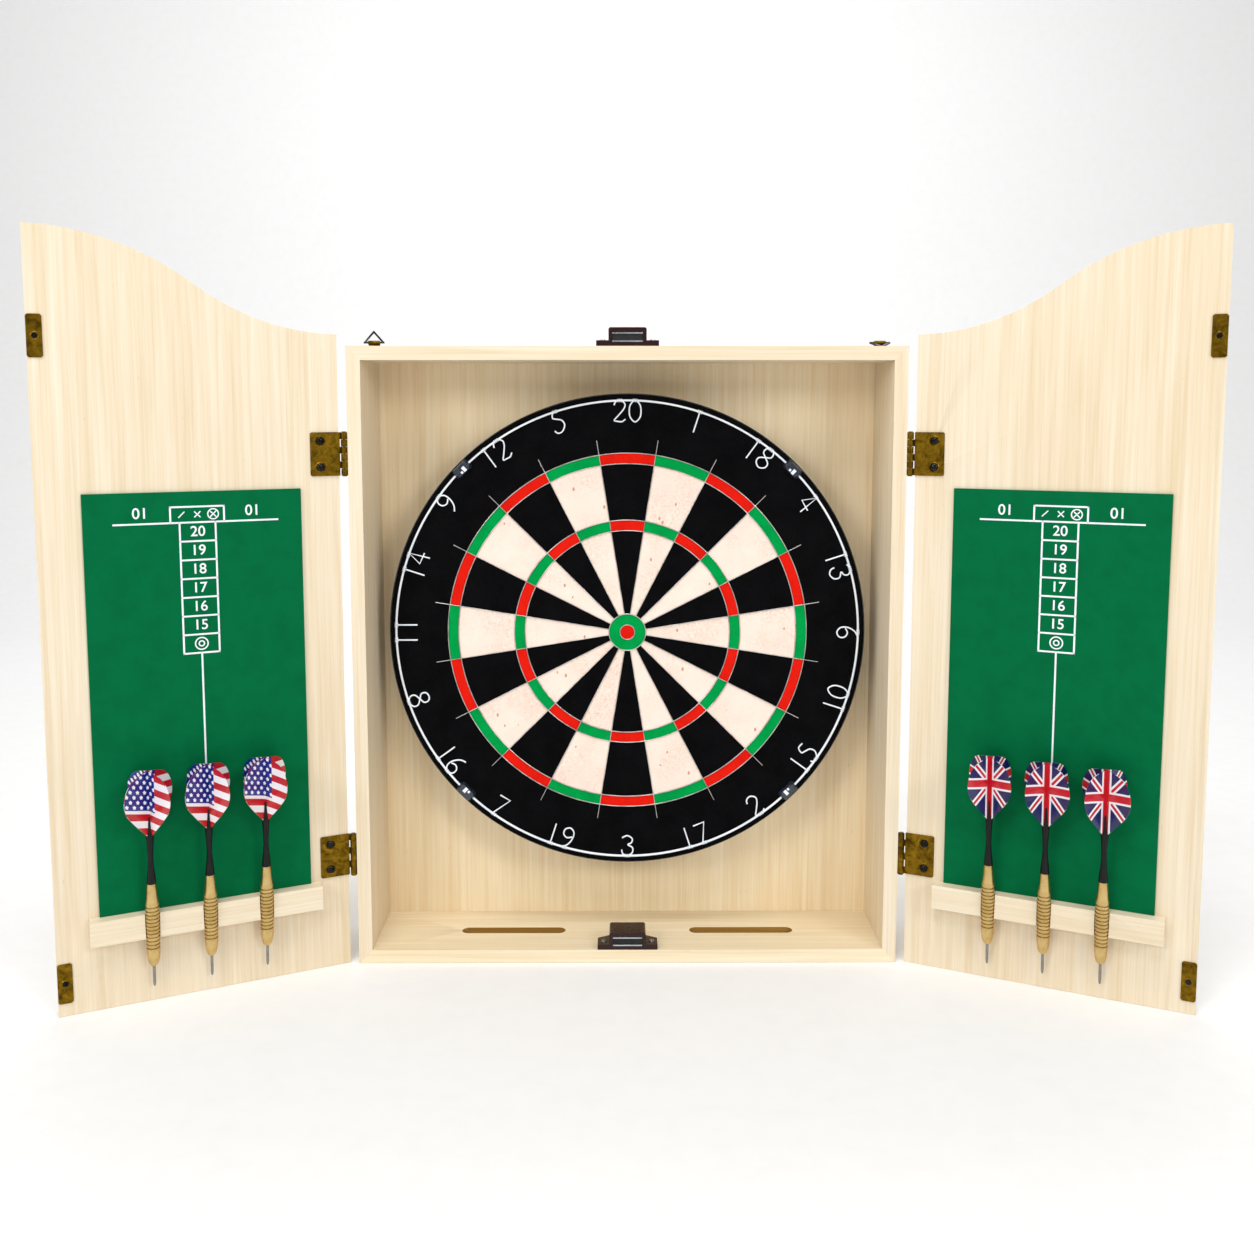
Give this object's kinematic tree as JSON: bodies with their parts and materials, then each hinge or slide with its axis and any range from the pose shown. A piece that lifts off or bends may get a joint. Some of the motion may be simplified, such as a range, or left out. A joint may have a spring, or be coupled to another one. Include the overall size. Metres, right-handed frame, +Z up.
{
  "type": "dart board cabinet",
  "caption": "Wall cabinet for a bristle dart board, with two arched doors, score panels, dart rails holding steel-tip darts, magnetic catches and wall hangers.",
  "frame": {"origin": "on the back face of the case, straight behind the bull of the board", "axes": "+X to the right when facing the board, -Y out of the front towards the player, +Z up; +Y into the wall"},
  "size_m": [0.9808, 0.2087, 0.665],
  "materials": {
    "maple": "clear satin varnish on pale maple, vertical grain",
    "chipboard": "raw pressed chip",
    "sisal": "pressed sisal fibre, dyed in sectors",
    "rim_steel": "black gloss enamel",
    "spider_wire": "bright drawn wire",
    "white_wire": "white enamel",
    "clip_plastic": "moulded, satin",
    "zinc": "bright zinc",
    "catch_plastic": "moulded, glossy dark brown",
    "ferrite": "sintered, matt",
    "antique_brass": "antiqued, darkened in the hollows",
    "black_screw": "black oxide",
    "score_green": "smooth green enamel on hardboard",
    "rail_wood": "satin varnish",
    "point_steel": "ground steel",
    "dart_brass": "turned and knurled, bright",
    "nylon": "moulded nylon",
    "flight_stripes": "printed film, stripes",
    "flight_cross": "printed film, crossed bands"
  },
  "bodies": {
    "cabinet": {"left_side_panel": "maple", "right_side_panel": "maple", "top_panel": "maple", "bottom_panel": "maple", "back_panel": "maple", "sisal_board": "sisal", "board_backing": "chipboard", "rim_band": "rim_steel", "wire_spider": "spider_wire", "number_ring": "white_wire", "ring_clips": "clip_plastic", "board_bracket": "zinc", "bracket_screws": "zinc", "top_catch_housing": "catch_plastic", "bottom_catch_housing": "catch_plastic", "catch_magnets": "ferrite", "catch_pole_plates": "zinc", "small_screws": "zinc", "case_hinge_leaves": "antique_brass", "hinge_pins": "antique_brass", "case_hinge_screws": "black_screw", "hanger_straps": "antique_brass"},
    "left_door": {"left_door_panel": "maple", "left_score_panel": "score_green", "left_dart_rail": "rail_wood", "left_strike_plates": "antique_brass", "left_door_screws": "black_screw", "left_hinge_leaves": "antique_brass"},
    "right_door": {"right_door_panel": "maple", "right_score_panel": "score_green", "right_dart_rail": "rail_wood", "right_strike_plates": "antique_brass", "right_door_screws": "black_screw", "right_hinge_leaves": "antique_brass"},
    "left_hanger": {"left_hanger_ring": "rim_steel"},
    "right_hanger": {"right_hanger_ring": "rim_steel"},
    "left_dart_1": {"left_dart_1_point": "point_steel", "left_dart_1_barrel": "dart_brass", "left_dart_1_shaft": "nylon", "left_dart_1_flight": "flight_stripes"},
    "left_dart_2": {"left_dart_2_point": "point_steel", "left_dart_2_barrel": "dart_brass", "left_dart_2_shaft": "nylon", "left_dart_2_flight": "flight_stripes"},
    "left_dart_3": {"left_dart_3_point": "point_steel", "left_dart_3_barrel": "dart_brass", "left_dart_3_shaft": "nylon", "left_dart_3_flight": "flight_stripes"},
    "right_dart_1": {"right_dart_1_point": "point_steel", "right_dart_1_barrel": "dart_brass", "right_dart_1_shaft": "nylon", "right_dart_1_flight": "flight_cross"},
    "right_dart_2": {"right_dart_2_point": "point_steel", "right_dart_2_barrel": "dart_brass", "right_dart_2_shaft": "nylon", "right_dart_2_flight": "flight_cross"},
    "right_dart_3": {"right_dart_3_point": "point_steel", "right_dart_3_barrel": "dart_brass", "right_dart_3_shaft": "nylon", "right_dart_3_flight": "flight_cross"}
  },
  "joints": [
    {"name": "left_door_hinge", "type": "hinge", "parent": "cabinet", "child": "left_door", "pos_m": [-0.2542, -0.093, 0], "axis": [0, 0, -1], "range_deg": [-155, 35]},
    {"name": "right_door_hinge", "type": "hinge", "parent": "cabinet", "child": "right_door", "pos_m": [0.2542, -0.093, 0], "axis": [0, 0, 1], "range_deg": [-155, 35]},
    {"name": "left_hanger_pivot", "type": "hinge", "parent": "cabinet", "child": "left_hanger", "pos_m": [-0.243, -0.004, 0.2742], "axis": [1, 0, 0], "range_deg": [0, 115]},
    {"name": "right_hanger_pivot", "type": "hinge", "parent": "cabinet", "child": "right_hanger", "pos_m": [0.243, -0.004, 0.2742], "axis": [1, 0, 0], "range_deg": [-115, 0]},
    {"name": "left_dart_1_pull", "type": "slide", "parent": "left_door", "child": "left_dart_1", "axis": [0.0405, -0.0869, 0.9954], "range_m": [0, 0.045]},
    {"name": "left_dart_2_pull", "type": "slide", "parent": "left_door", "child": "left_dart_2", "axis": [0.0405, -0.0869, 0.9954], "range_m": [0, 0.045]},
    {"name": "left_dart_3_pull", "type": "slide", "parent": "left_door", "child": "left_dart_3", "axis": [0.0405, -0.0869, 0.9954], "range_m": [0, 0.045]},
    {"name": "right_dart_1_pull", "type": "slide", "parent": "right_door", "child": "right_dart_1", "axis": [-0.0405, -0.0869, 0.9954], "range_m": [0, 0.045]},
    {"name": "right_dart_2_pull", "type": "slide", "parent": "right_door", "child": "right_dart_2", "axis": [-0.0405, -0.0869, 0.9954], "range_m": [0, 0.045]},
    {"name": "right_dart_3_pull", "type": "slide", "parent": "right_door", "child": "right_dart_3", "axis": [-0.0405, -0.0869, 0.9954], "range_m": [0, 0.045]}
  ]
}
